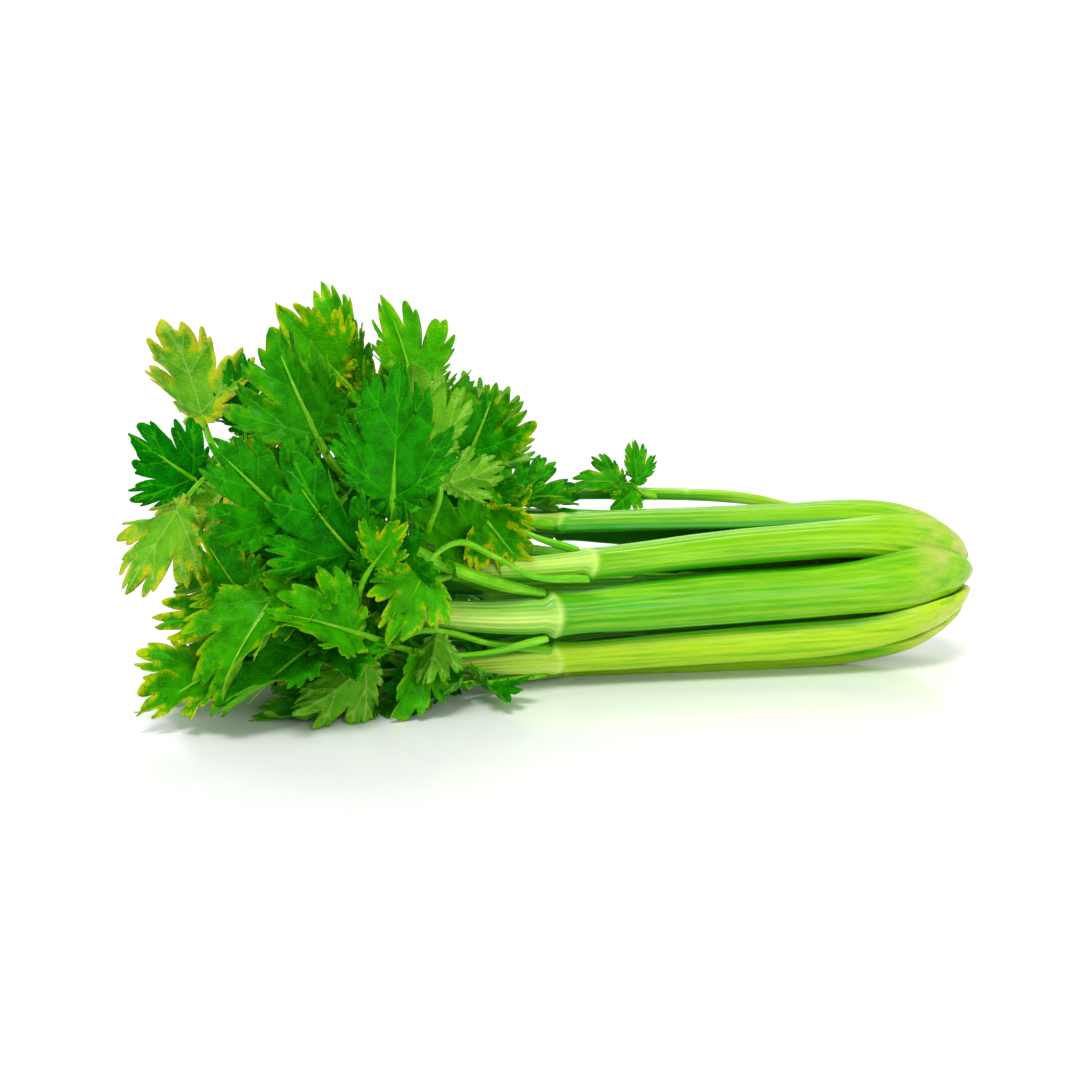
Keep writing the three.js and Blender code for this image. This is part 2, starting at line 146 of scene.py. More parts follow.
class Shells:
    """Closed shells that are gathered into one piece, with a value of each attribute at every point."""

    def __init__(self):
        self.points, self.faces, self.finishes, self.values, self.places = [], [], [], [], []
        self.count = 0

    def add(self, points, faces, finishes, values, places=None):
        self.faces += [[i + self.count for i in face] for face in faces]
        self.finishes += list(finishes)
        self.points.append(points)
        self.values.append({key: np.broadcast_to(v, len(points)) for key, v in values.items()})
        self.places.append(np.zeros((len(points), 2)) if places is None else places)
        self.count += len(points)

    def make(self, node, materials, prefix="fine_"):
        """The piece on the root body. A fine piece stands for its CAD node; other pieces are extra."""
        mesh = bpy.data.meshes.new(prefix + node)
        mesh.from_pydata(np.concatenate(self.points).tolist(), [], self.faces)
        for material in materials:
            mesh.materials.append(material)
        mesh.polygons.foreach_set("material_index", np.array(self.finishes, np.int32))
        mesh.polygons.foreach_set("use_smooth", np.ones(len(self.faces), bool))
        for key in dict.fromkeys(key for values in self.values for key in values):
            whole = np.concatenate([v.get(key, np.zeros(len(p))) for v, p in zip(self.values, self.points)])
            mesh.attributes.new(key, "FLOAT", "POINT").data.foreach_set("value", whole.astype(np.float32))
        corners = np.empty(len(mesh.loops), np.int32)
        mesh.loops.foreach_get("vertex_index", corners)
        places = np.concatenate(self.places).astype(np.float32)
        mesh.uv_layers.new(name="flat").data.foreach_set("uv", places[corners].ravel())
        piece = bpy.data.objects.new(mesh.name, mesh)
        bpy.context.scene.collection.objects.link(piece)
        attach(piece, "root")
        if prefix == "fine_":
            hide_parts(node)
        return piece


def tube_faces(rows, around):
    """Faces of a tube of rows of points, closed at its ends by fans round the two points that follow them."""
    at = lambda i, j: i * around + j % around
    faces = [
        (at(i, j), at(i, j + 1), at(i + 1, j + 1), at(i + 1, j))
        for i in range(rows - 1)
        for j in range(around)
    ]
    first, last = rows * around, rows * around + 1
    faces += [(first, at(0, j + 1), at(0, j)) for j in range(around)]
    faces += [(last, at(rows - 1, j), at(rows - 1, j + 1)) for j in range(around)]
    return faces


# ---- Materials ----

class Nodes:
    """A short way to write a material's node tree."""

    def __init__(self, name):
        self.material = bpy.data.materials.new(name)
        self.material.use_nodes = True
        self.tree = self.material.node_tree
        self.tree.nodes.clear()
        self.output = self.tree.nodes.new("ShaderNodeOutputMaterial")

    def add(self, kind, inputs=None, **settings):
        node = self.tree.nodes.new("ShaderNode" + kind)
        for key, value in settings.items():
            setattr(node, key, value)
        for key, value in (inputs or {}).items():
            self.put(node.inputs[key], value)
        return node

    def put(self, socket, value):
        if isinstance(value, bpy.types.NodeSocket):
            self.tree.links.new(value, socket)
        else:
            socket.default_value = value

    def attribute(self, name):
        return self.add("Attribute", attribute_name=name).outputs["Fac"]

    def math(self, operation, a, b=0.0, c=0.0):
        return self.add("Math", {0: a, 1: b, 2: c}, operation=operation).outputs[0]

    def span(self, value, low, high, to_low=0.0, to_high=1.0):
        node = self.add("MapRange", {0: value, 1: low, 2: high, 3: to_low, 4: to_high})
        node.interpolation_type = "SMOOTHSTEP"
        return node.outputs[0]

    def mix(self, factor, a, b):
        node = self.add("Mix", data_type="RGBA")
        self.put(node.inputs[0], factor)
        self.put(node.inputs[6], a)
        self.put(node.inputs[7], b)
        return node.outputs[2]

    def noise(self, vector, scale, detail=3.0, roughness=0.55):
        return self.add(
            "TexNoise", {"Vector": vector, "Scale": scale, "Detail": detail, "Roughness": roughness}
        ).outputs[0]

    def stretched(self, vector, scale):
        return self.add("Mapping", {"Vector": vector, "Scale": scale}).outputs[0]


def tint(red, green, blue):
    """A colour from its 0-255 screen values."""
    linear = lambda c: c / 255 / 12.92 if c <= 10 else ((c / 255 + 0.055) / 1.055) ** 2.4
    return (linear(red), linear(green), linear(blue), 1)


def shade(colour, factor):
    return tuple(factor * c for c in colour[:3]) + (1,)


# How fine the patterns of a rib's skin are: features in each metre along it and across it.
FIBRES = (40, 900, 900)
FLECKS = (260, 1500, 1500)
BANDS = (14, 260, 260)

# Colours that the materials share.
YELLOW_AND_PAINTED_LIGHT = tint(184, 214, 18)  # the yellower green of some ribs, also painted light on the ribs that face down
FRESH = tint(34, 168, 0)  # the deeper green bands of a rib
PAINTED_SHADE_GREEN = tint(10, 150, 0)  # painted shade: dark green on a rib's flanks, where the ribs shade each other, and over the inner ribs
JOINT_PALE = tint(214, 236, 120)  # a joint, and a painted highlight along the middle of the stem past it
SPECK = tint(150, 130, 60)
ROOT_CREAM = tint(214, 196, 120)  # patches of a rib's root end
DRIED = tint(222, 170, 20)  # the oldest patches of a leaf
LET_THROUGH = tint(60, 200, 0)  # light that has come through a leaf


def stalk_material(name, green, pale, streak):
    """Moist ribbed stalk skin: pale towards the root and at the joint, whitish strings along its ridges,
    painted shade on its flanks and a painted highlight along the stem past the joint.
    """
    n = Nodes(name)
    along, ridge = n.attribute("along"), n.attribute("ridge")
    where = n.add("TexCoord").outputs["Object"]
    fibres = n.noise(n.stretched(where, FIBRES), 1.0, 4.0)
    clouds = n.noise(where, 35.0, 2.0)
    flecks = n.noise(n.stretched(where, FLECKS), 1.0, 2.0)
    bands = n.noise(n.stretched(where, BANDS), 1.0, 2.0)
    body = n.mix(n.span(clouds, 0.3, 0.7), green, shade(green, 0.8))
    body = n.mix(n.math("MULTIPLY", n.span(along, 0.0, 0.22, 1, 0), 0.75), body, pale)
    # Some ribs' yellower tone, partly painted light that lifts the ribs that face down.
    body = n.mix(n.attribute("tone"), body, YELLOW_AND_PAINTED_LIGHT)
    body = n.mix(n.span(bands, 0.34, 0.48, 0.5, 0.0), body, FRESH)
    body = n.mix(n.span(bands, 0.52, 0.66, 0.0, 0.4), body, streak)
    # Painted shade: dark green over the flanks and the inner ribs.
    body = n.mix(n.math("MULTIPLY", n.attribute("flank"), 0.8), body, PAINTED_SHADE_GREEN)
    strings = n.math("MULTIPLY", ridge, n.span(fibres, 0.35, 0.65, 0.15, 0.6))
    body = n.mix(strings, body, streak)
    body = n.mix(n.math("MULTIPLY", n.span(fibres, 0.5, 0.75), 0.35), body, shade(green, 0.7))
    # The pale joint line, with a painted highlight along the stem past it.
    body = n.mix(n.math("MULTIPLY", n.attribute("joint"), 0.8), body, JOINT_PALE)
    body = n.mix(n.math("MULTIPLY", n.span(flecks, 0.72, 0.8), 0.35), body, SPECK)
    at_root = n.math("MULTIPLY", n.span(along, 0.0, 0.05, 1, 0), n.span(clouds, 0.4, 0.62))
    body = n.mix(at_root, body, ROOT_CREAM)
    rough = n.span(fibres, 0.3, 0.7, 0.18, 0.4)
    bump = n.add("Bump", {"Height": fibres, "Strength": 0.25, "Distance": 0.0006})
    skin = n.add(
        "BsdfPrincipled",
        {
            "Base Color": body,
            "Roughness": rough,
            "Normal": bump.outputs[0],
            "Subsurface Weight": 0.2,
            "Subsurface Radius": (0.4, 1.0, 0.05),
            "Subsurface Scale": 0.004,
            "Coat Weight": 0.3,
            "Coat Roughness": 0.1,
            "IOR": 1.4,
            "Specular IOR Level": 0.08,
        },
    )
    n.put(n.output.inputs["Surface"], skin.outputs[0])
    return n.material


def leaf_material(name, green, deep, light, yellow, vein, gloss, through):
    """A leaf's skin: green between its pale veins, lighter with its tone, and yellowed with age from its
    margin in. The share through of it lets light through."""
    n = Nodes(name)
    edge, veins, age, tone = (n.attribute(key) for key in ("edge", "vein", "age", "tone"))
    where = n.add("TexCoord").outputs["UV"]
    clouds = n.noise(where, 6.0, 3.0)
    cells = n.noise(where, 45.0, 3.0, 0.6)
    body = n.mix(n.span(clouds, 0.35, 0.65), deep, green)
    body = n.mix(n.math("MULTIPLY", n.span(cells, 0.4, 0.62), 0.3), body, shade(green, 1.35))
    body = n.mix(n.math("MULTIPLY", tone, n.span(clouds, 0.3, 0.6, 0.55, 1.0)), body, light)
    margin = n.span(edge, 0.0, 0.6, 1.0, 0.0)
    patches = n.math("ADD", n.span(clouds, 0.35, 0.7, -0.45, 0.5), n.span(cells, 0.3, 0.7, -0.15, 0.15))
    on_veins = n.span(veins, 0.0, 3.0, 1.0, 0.0)
    aged = n.math("SUBTRACT", n.math("ADD", margin, patches), n.math("MULTIPLY", on_veins, 0.4))
    aged = n.math("MULTIPLY", aged, n.math("MULTIPLY", age, 1.4))
    body = n.mix(n.span(aged, 0.15, 1.0, 0.0, 0.9), body, yellow)
    body = n.mix(n.span(aged, 1.1, 1.9, 0.0, 0.6), body, DRIED)
    body = n.mix(n.math("MULTIPLY", n.span(veins, 0.3, 1.2, 1.0, 0.0), 0.7), body, vein)
    fields = n.add("TexVoronoi", {"Vector": where, "Scale": 30.0}, feature="DISTANCE_TO_EDGE")
    network = fields.outputs["Distance"]
    body = n.mix(n.span(network, 0.0, 0.1, 0.18, 0.0), body, vein)
    relief = n.math("ADD", n.math("MULTIPLY", n.span(network, 0.0, 0.2), 0.7), n.math("MULTIPLY", cells, 0.5))
    bump = n.add("Bump", {"Height": relief, "Strength": 0.6, "Distance": 0.0005}).outputs[0]
    skin = n.add(
        "BsdfPrincipled",
        {
            "Base Color": body,
            "Roughness": n.span(cells, 0.3, 0.7, gloss, gloss + 0.16),
            "Normal": bump,
            "Coat Weight": 0.04,
            "Coat Roughness": 0.15,
            "IOR": 1.42,
            "Specular IOR Level": 0.04,
        },
    )
    glow = n.mix(0.35, body, LET_THROUGH)
    lit = n.add("BsdfTranslucent", {"Color": glow, "Normal": bump})
    both = n.add("MixShader", {0: through, 1: skin.outputs[0], 2: lit.outputs[0]})
    n.put(n.output.inputs["Surface"], both.outputs[0])
    return n.material


def flesh_material():
    """The cut root: cream flesh with darker bundles, tan towards its rim."""
    n = Nodes("cut_flesh")
    where = n.add("TexCoord").outputs["Object"]
    rim = n.attribute("edge")
    dots = n.add("TexVoronoi", {"Vector": where, "Scale": 520.0}).outputs["Distance"]
    clouds = n.noise(where, 160.0, 4.0)
    body = n.mix(n.span(dots, 0.1, 0.4, 1.0, 0.0), tint(240, 234, 196), tint(206, 202, 130))
    body = n.mix(n.math("MULTIPLY", rim, n.span(clouds, 0.35, 0.6)), body, tint(190, 150, 84))
    relief = n.math("ADD", clouds, dots)
    bump = n.add("Bump", {"Height": relief, "Strength": 0.5, "Distance": 0.0006}).outputs[0]
    flesh = n.add(
        "BsdfPrincipled",
        {
            "Base Color": body,
            "Roughness": 0.55,
            "Normal": bump,
            "Subsurface Weight": 0.2,
            "Subsurface Scale": 0.003,
        },
    )
    n.put(n.output.inputs["Surface"], flesh.outputs[0])
    return n.material


STALK = stalk_material("stalk", tint(60, 166, 0), tint(142, 194, 6), tint(156, 208, 40))
STALK_INSIDE = stalk_material("stalk_inside", tint(96, 186, 4), tint(190, 214, 70), tint(196, 222, 110))
STEM = stalk_material("leaf_stem", tint(84, 190, 0), tint(130, 204, 14), tint(160, 220, 50))
UPPER = leaf_material(
    "leaf_upper",
    tint(0, 146, 0),
    tint(0, 96, 3),
    tint(80, 194, 0),
    tint(212, 218, 4),
    tint(70, 186, 12),
    gloss=0.3,
    through=0.28,
)
UNDER = leaf_material(
    "leaf_under",
    tint(64, 172, 14),
    tint(20, 142, 8),
    tint(134, 204, 36),
    tint(214, 212, 30),
    tint(160, 212, 84),
    gloss=0.45,
    through=0.28,
)
FLESH = flesh_material()


# ---- Stalks ----

# The places of a rib's points round its ring: 0 to 180 is its outer side, the rest its hollow inner side.
RIB_KNOTS = np.array([0, 30, 60, 90, 120, 150, 180, 218.7, 246.4, 270, 293.6, 321.3])
OUTER_SHARE = 0.68  # of the fine points round a rib, those on its outer side
STEM_RINGS = 5  # of a rib's rings, from its joint on
JOINT_BULGE = 7 * MM  # how far the middle of a joint's line lies towards the root
SWELLING = 0.25 * MM  # how far a joint stands out
UNEVENNESS = 0.25 * MM  # of a rib, in slow waves
ROOT_PRESS = (25 * MM, 75 * MM)  # where along a rib its widening at the root ends
TIP_ROWS = np.array([4, 3, 2, 1.2, 0.5, 0]) * MM  # rows of points that round off a rib's far end
PLAIN_TONE = 0.1

# How yellow a rib is, which on the lower ribs that face down is also painted light; the others have the plain
# tone.
STALK_TONES = {
    "rib_front_bottom": 0.85,
    "rib_front_top": 0.2,
    "rib_front_middle": 0.05,
    "rib_under": 0.6,
}


def round_ring(rings, knots, turn):
    """Closed smooth curves through the points of rings, [ring][point][xyz], at other places round them."""
    points = rings.transpose(1, 0, 2)
    whole = np.concatenate([knots - 360, knots, knots + 360])
    return through(np.concatenate([points] * 3), whole, turn).transpose(1, 0, 2)


def lengths(points):
    return np.concatenate([[0], np.cumsum(np.linalg.norm(np.diff(points, axis=0), axis=1))])


def outward(grid):
    """Unit normals of a tube of points, [row][point][xyz]."""
    across = np.roll(grid, -1, axis=1) - np.roll(grid, 1, axis=1)
    normal = unit(np.cross(across, np.gradient(grid, axis=0)))
    return normal * np.sign(((grid - grid.mean(axis=1, keepdims=True)) * normal).sum())


def add_tube(shells, grid, finishes, values):
    """A closed tube of rows of points: finishes and values are per point round and per [row][point]."""
    rows, around = grid.shape[:2]
    points = np.concatenate([grid.reshape(-1, 3), [grid[0].mean(axis=0), grid[-1].mean(axis=0)]])
    full = {}
    for key, value in values.items():
        value = np.broadcast_to(value, (rows, around))
        full[key] = np.concatenate([value.ravel(), [value[0].mean(), value[-1].mean()]])
    side, start, end = finishes
    each = list(side) * (rows - 1) + [start] * around + [end] * around
    shells.add(points, tube_faces(rows, around), each, full)


def make_stalk(node, around, step, ridges, relief, jointed=True, spread=0.0, slim=0.0, deep=0.0):
    """A rib or the shoot: a fine tube through its rings, with strings along its outer side and a swollen
    joint. Near the root it is wider than its CAD rings by the share spread, so that its edges press on the
    next ribs', and further on it is narrower by the share slim. Its flanks carry painted shade, and its
    colour has at least the share deep of this painted shade. The shoot, which has no joint, tapers to its
    root instead."""
    rings = rings_of(node, len(RIB_KNOTS))
    length = lengths(rings.mean(axis=1))
    across = unit(rings[:, 0] - rings[:, 6])[:, None]
    centres = rings.mean(axis=1, keepdims=True)
    sideways = ((rings - centres) * across).sum(axis=-1, keepdims=True) * across
    wider = spread - (spread + slim) * smoothstep(length, *ROOT_PRESS)
    rings = rings + sideways * wider[:, None, None]
    if not jointed:
        taper = 0.15 + 0.85 * smoothstep(length, -10 * MM, 45 * MM)
        rings = centres + (rings - centres) * taper[:, None, None]
    joint = length[-STEM_RINGS] if jointed else 0.45 * length[-1]
    tip = length[-1] - TIP_ROWS
    at = np.concatenate([np.arange(0, tip[0], step), joint + np.arange(-6, 6.1) * MM, tip])
    at = np.unique(np.round(at, 5))
    outer = int(around * OUTER_SHARE)
    turn = np.concatenate(
        [np.linspace(0, 180, outer, endpoint=False), np.linspace(180, 360, around - outer, endpoint=False)]
    )
    grid = round_ring(through(rings, length, at), RIB_KNOTS, turn)
    normal = outward(grid)

    on_outer = turn < 180
    share = turn / 180
    rng = np.random.default_rng(sum(map(ord, node)))
    strings = (np.arange(ridges) + 0.5 + rng.uniform(-0.22, 0.22, ridges)) / ridges
    heights = rng.uniform(0.4, 1, ridges)
    near = np.exp(-(((share[:, None] - strings) * ridges / 0.3) ** 2)) * heights
    clear_of_edges = smoothstep(np.sin(np.clip(share, 0, 1) * np.pi), 0.1, 0.5)
    crest = np.where(on_outer, near.max(axis=1) * clear_of_edges, 0)
    bulge = JOINT_BULGE * np.clip(1 - (2 * share - 1) ** 2, 0, 1) * jointed
    from_joint = at[:, None] - joint + bulge
    off_joint = smoothstep(abs(from_joint), 1 * MM, 9 * MM)
    fade = smoothstep(at, 2 * MM, 22 * MM)[:, None] * (0.3 + 0.7 * off_joint)
    ridge = fade * crest
    drift = wavy(rng, 5)(grid, 0.06) + 0.5 * wavy(rng, 5)(grid, 0.022)
    swelling = SWELLING * np.exp(-((from_joint / (2.6 * MM)) ** 2))
    height = relief * (ridge - 0.35 * on_outer * fade) + UNEVENNESS * drift + swelling * on_outer
    points = grid + normal * height[..., None]
    middle = points.mean(axis=1, keepdims=True)
    rounded = np.sqrt(1 - 0.95 * np.clip((at - tip[0]) / (tip[-1] - tip[0]), 0, 1) ** 2)
    points = middle + (points - middle) * rounded[:, None, None]
    points[..., 2] = np.maximum(points[..., 2], 0)

    shells = Shells()
    past = smoothstep(from_joint, -1.5 * MM, 1.5 * MM) * jointed
    # Painted shade: on the flanks and the hollow side, where the ribs lie against and shade each other, and
    # on the inner ribs by the share deep.
    beside = np.maximum(smoothstep(abs(2 * share - 1), 0.6, 0.95), deep)
    flank = beside * smoothstep(at, 25 * MM, 70 * MM)[:, None]
    # A painted highlight: a broad pale band along the middle of the stem past the joint, and a thin one lower
    # on it.
    highlight_band = np.exp(-(((share - 0.45) / 0.14) ** 2)) + 0.5 * np.exp(-(((share - 0.8) / 0.05) ** 2))
    joint_line = 0.4 * np.exp(-((from_joint / (1.8 * MM)) ** 2))
    values = {
        "along": at[:, None],
        "ridge": ridge,
        "joint": (joint_line + past * (0.08 + 0.2 * crest + 0.6 * highlight_band)) * (1 - 0.8 * flank),
        "edge": 0.6,
        "tone": STALK_TONES.get(node, PLAIN_TONE),
        "flank": flank,
    }
    add_tube(shells, points, (np.where(on_outer, 0, 1), 2, 1), values)
    return shells.make(node, [STALK, STALK_INSIDE, FLESH])


CUT_WIDENING = 2.3  # the cut face's radius against that of the CAD stump's end


def make_crown(node):
    """The stump inside the ribs: its CAD profile made round and knobbly, ending in the cut face of the root,
    which is wider than the profile there."""
    low, high = (np.array(corner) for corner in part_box(node))
    middle = (low + high) / 2
    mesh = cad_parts[node].data
    corners = np.array([v.co[:] for v in mesh.vertices])
    radius = np.hypot(corners[:, 1] - middle[1], corners[:, 2] - middle[2])
    depth = np.round(high[0] - corners[:, 0], 5)
    knots = np.unique(depth)[1:-1]
    profile = np.array([radius[depth == d].max() for d in knots])
    cut_radius = CUT_WIDENING * profile[0]
    inner = np.linspace(2 * MM, knots[-1], 40)
    at = np.concatenate([[0, 0, 0, 0, 0, 0.3 * MM, 1 * MM], inner])
    flare = cut_radius * (1 - smoothstep(inner, 1 * MM, 9 * MM))
    body = np.maximum(np.interp(inner, knots, profile), flare)
    r = np.concatenate([cut_radius * np.array([0.2, 0.4, 0.6, 0.8, 0.93, 0.99, 1]), body])
    turn = np.linspace(0, 2 * np.pi, 72, endpoint=False)
    rng = np.random.default_rng(7)
    ring = np.stack([0 * turn, np.cos(turn), np.sin(turn)], axis=1)
    grid = ring[None] * r[:, None, None] * (1 + 0.03 * np.sin(8 * turn))[None, :, None]
    grid[..., 0] = -at[:, None]
    grid += [high[0] - 0.2 * MM, middle[1], middle[2]]
    grid[..., 0] += 0.35 * MM * wavy(rng, 6)(grid, 0.006) * (at < 2 * MM)[:, None]
    shells = Shells()
    rim = smoothstep(r / cut_radius, 0.75, 1) * np.ones(len(at))
    add_tube(shells, grid, ([0] * len(turn), 0, 0), {"edge": rim[:, None]})
    return shells.make(node, [FLESH])


# ---- Leaves ----

# Half of a blade's outer shape, from its base to its tip, as shares of its length and of half its width.
ENVELOPE = np.array(
    [[0, 0.04], [0.05, 0.3], [0.15, 0.62], [0.36, 0.93], [0.6, 1], [0.8, 0.8], [0.93, 0.45], [1, 0]]
)
HUB = 0.15  # where the main veins spread from, as a share of the blade's length
# The notches between and beside the five lobes, in degrees round the hub from the tip.
SINUSES = np.array([-168, -82, -30, 30, 82, 168])
# How far the points of lobes, of their parts and of teeth lean to the tip, as shares of their own spans.
LOBE_LEAN, PART_LEAN, TOOTH_LEAN = 0.06, 0.1, 0.22
LARGE_BLADE = 60 * MM  # from this length on, a blade has more teeth
MIDRIB, LOBE_VEIN, PART_VEIN, TOOTH_VEIN = 0.5, 0.36, 0.26, 0.18  # half widths of veins, in mm
BLADE_STEP = 1.2 * MM  # size of the blade's triangles
BLADE_HALF = 0.25 * MM  # half its thickness
LEAF_KNOTS = np.arange(8) * 45.0
STEM_ROWS = 4  # of a leaf's rings, before the base of its blade
BLADE_GROWTH = (1.06, 1.18)  # a blade's length and width against its CAD blade's, whose outline has no lobes
FLAT_UNIT = 0.05  # one unit of the flat texture coordinates

LONE_BLADES = ("leaf_front_middle_1", "leaf_front_top_2")  # the leaves with no leaflets on their stems
MIDRIB_RINGS = ((1, 0.75), (2, 0.55), (4, 0.35), (6, 0.15))  # rows of a blade, and the midrib's size at each
STEM_BURIED = 4 * MM  # the depth of a stem's end in its rib

# The leaflets on a leaf's stem.
LEAFLET_PLACE = (0.55, 0.85)  # along the stem
LEAFLET_SIZE = (0.6, 0.8)  # against the leaf's own blade
LEAFLET_BOW = (-0.35, 0.15)  # how far a leaflet's tip bends, as a share of its length
LEAFLET_TROUGH = 0.35  # how steeply its halves rise from its midrib

# The young leaves of an inner rib.
YOUNG_ROUND = np.arange(4) * 90  # their places round the rib's end, in degrees
YOUNG_REACH = (40, 110)  # how far past the rib's end they start, in mm
YOUNG_ASIDE = (12, 26)  # and how far beside its line, in mm
YOUNG_LENGTH = (46, 60)
YOUNG_WIDTH = (42, 54)
YOUNG_LOWEST = 25 * MM  # the height that they keep above the floor

# The relief of a blade: the first two are shares of its width.
CURL = 0.055  # slow waves of the whole blade
RUFFLE = 0.03  # quick waves of its margin
QUILTING = 0.5 * MM  # how far it stands out between its veins
GROOVE = 0.2 * MM  # how deep its veins lie in its upper side
KEEL = 0.35 * MM  # how far they stand out below it

# How old and yellow, and how pale, a leaf is; the others are drawn from their names.
LOOKS = {
    "leaf_front_top_1": (0.6, 0.45),
    "leaf_front_top_2": (0.35, 0.8),
    "leaf_front_top_3": (0.15, 0.1),
    "leaf_front_top_4": (0.1, 0.7),
    "leaf_front_top_5": (0.15, 0.1),
    "leaf_front_middle_1": (0.12, 0.15),
    "leaf_front_middle_2": (0.25, 0.6),
    "leaf_front_middle_3": (0.3, 0.6),
    "leaf_front_middle_4": (0.15, 0.2),
    "leaf_front_middle_5": (0.35, 0.2),
    "leaf_front_bottom_1": (0.2, 0.5),
    "leaf_front_bottom_2": (0.1, 0.1),
    "leaf_front_bottom_3": (0.15, 0.3),
    "leaf_front_bottom_4": (0.5, 0.5),
    "leaf_under_3": (0.6, 0.4),
    "leaf_back_top_3": (0.8, 0.7),
    "leaf_back_top_4": (0.55, 0.95),
    "leaf_top_1": (0.3, 0.15),
    "leaf_top_2": (0.2, 0.1),
    "leaf_top_3": (0.2, 0.35),
    "leaf_top_4": (0.3, 0.9),
    "leaf_top_5": (0.4, 1.0),
    "leaf_inner_1_1": (0.1, 0.1),
    "leaf_inner_1_2": (0.05, 0.0),
    "leaf_inner_2_1": (0.6, 0.7),
    "leaf_inner_5_1": (0.45, 0.6),
    "shoot_leaf_1": (0.3, 0.4),
}


def split(bounds, parts, rng):
    """Divides each span between bounds into nearly equal parts."""
    cuts = []
    for low, high in zip(bounds[:-1], bounds[1:]):
        ends = np.cumsum(rng.uniform(0.8, 1.2, parts))
        cuts += [low, *(low + (high - low) * ends[:-1] / ends[-1])]
    return np.array([*cuts, bounds[-1]])


def crests(bounds, lean):
    """The middle of each span, moved towards the tip at angle 0 by a share of the span."""
    middle = (bounds[:-1] + bounds[1:]) / 2
    return middle - lean * np.sign(np.round(middle)) * np.diff(bounds)


def notched(angle, bounds, lean, depth, power):
    """Shares of a radius that is whole at each span's crest and less by depth at its ends."""
    crest = crests(bounds, lean)
    i = np.clip(np.searchsorted(bounds, angle, side="right") - 1, 0, len(crest) - 1)
    reach = np.where(angle < crest[i], crest[i] - bounds[i], bounds[i + 1] - crest[i])
    x = np.clip(abs(angle - crest[i]) / reach, 0, 1)
    inside = (angle >= bounds[0]) & (angle <= bounds[-1])
    return 1 - np.where(inside, depth[i] * x**power, 0)


def near_lines(points, starts, ends):
    """Distances from points to segments, as [point][segment]."""
    run = ends - starts
    to = points[:, None] - starts[None]
    t = np.clip((to * run).sum(axis=-1) / np.maximum((run * run).sum(axis=-1), 1e-12), 0, 1)
    return np.linalg.norm(to - t[..., None] * run, axis=-1)


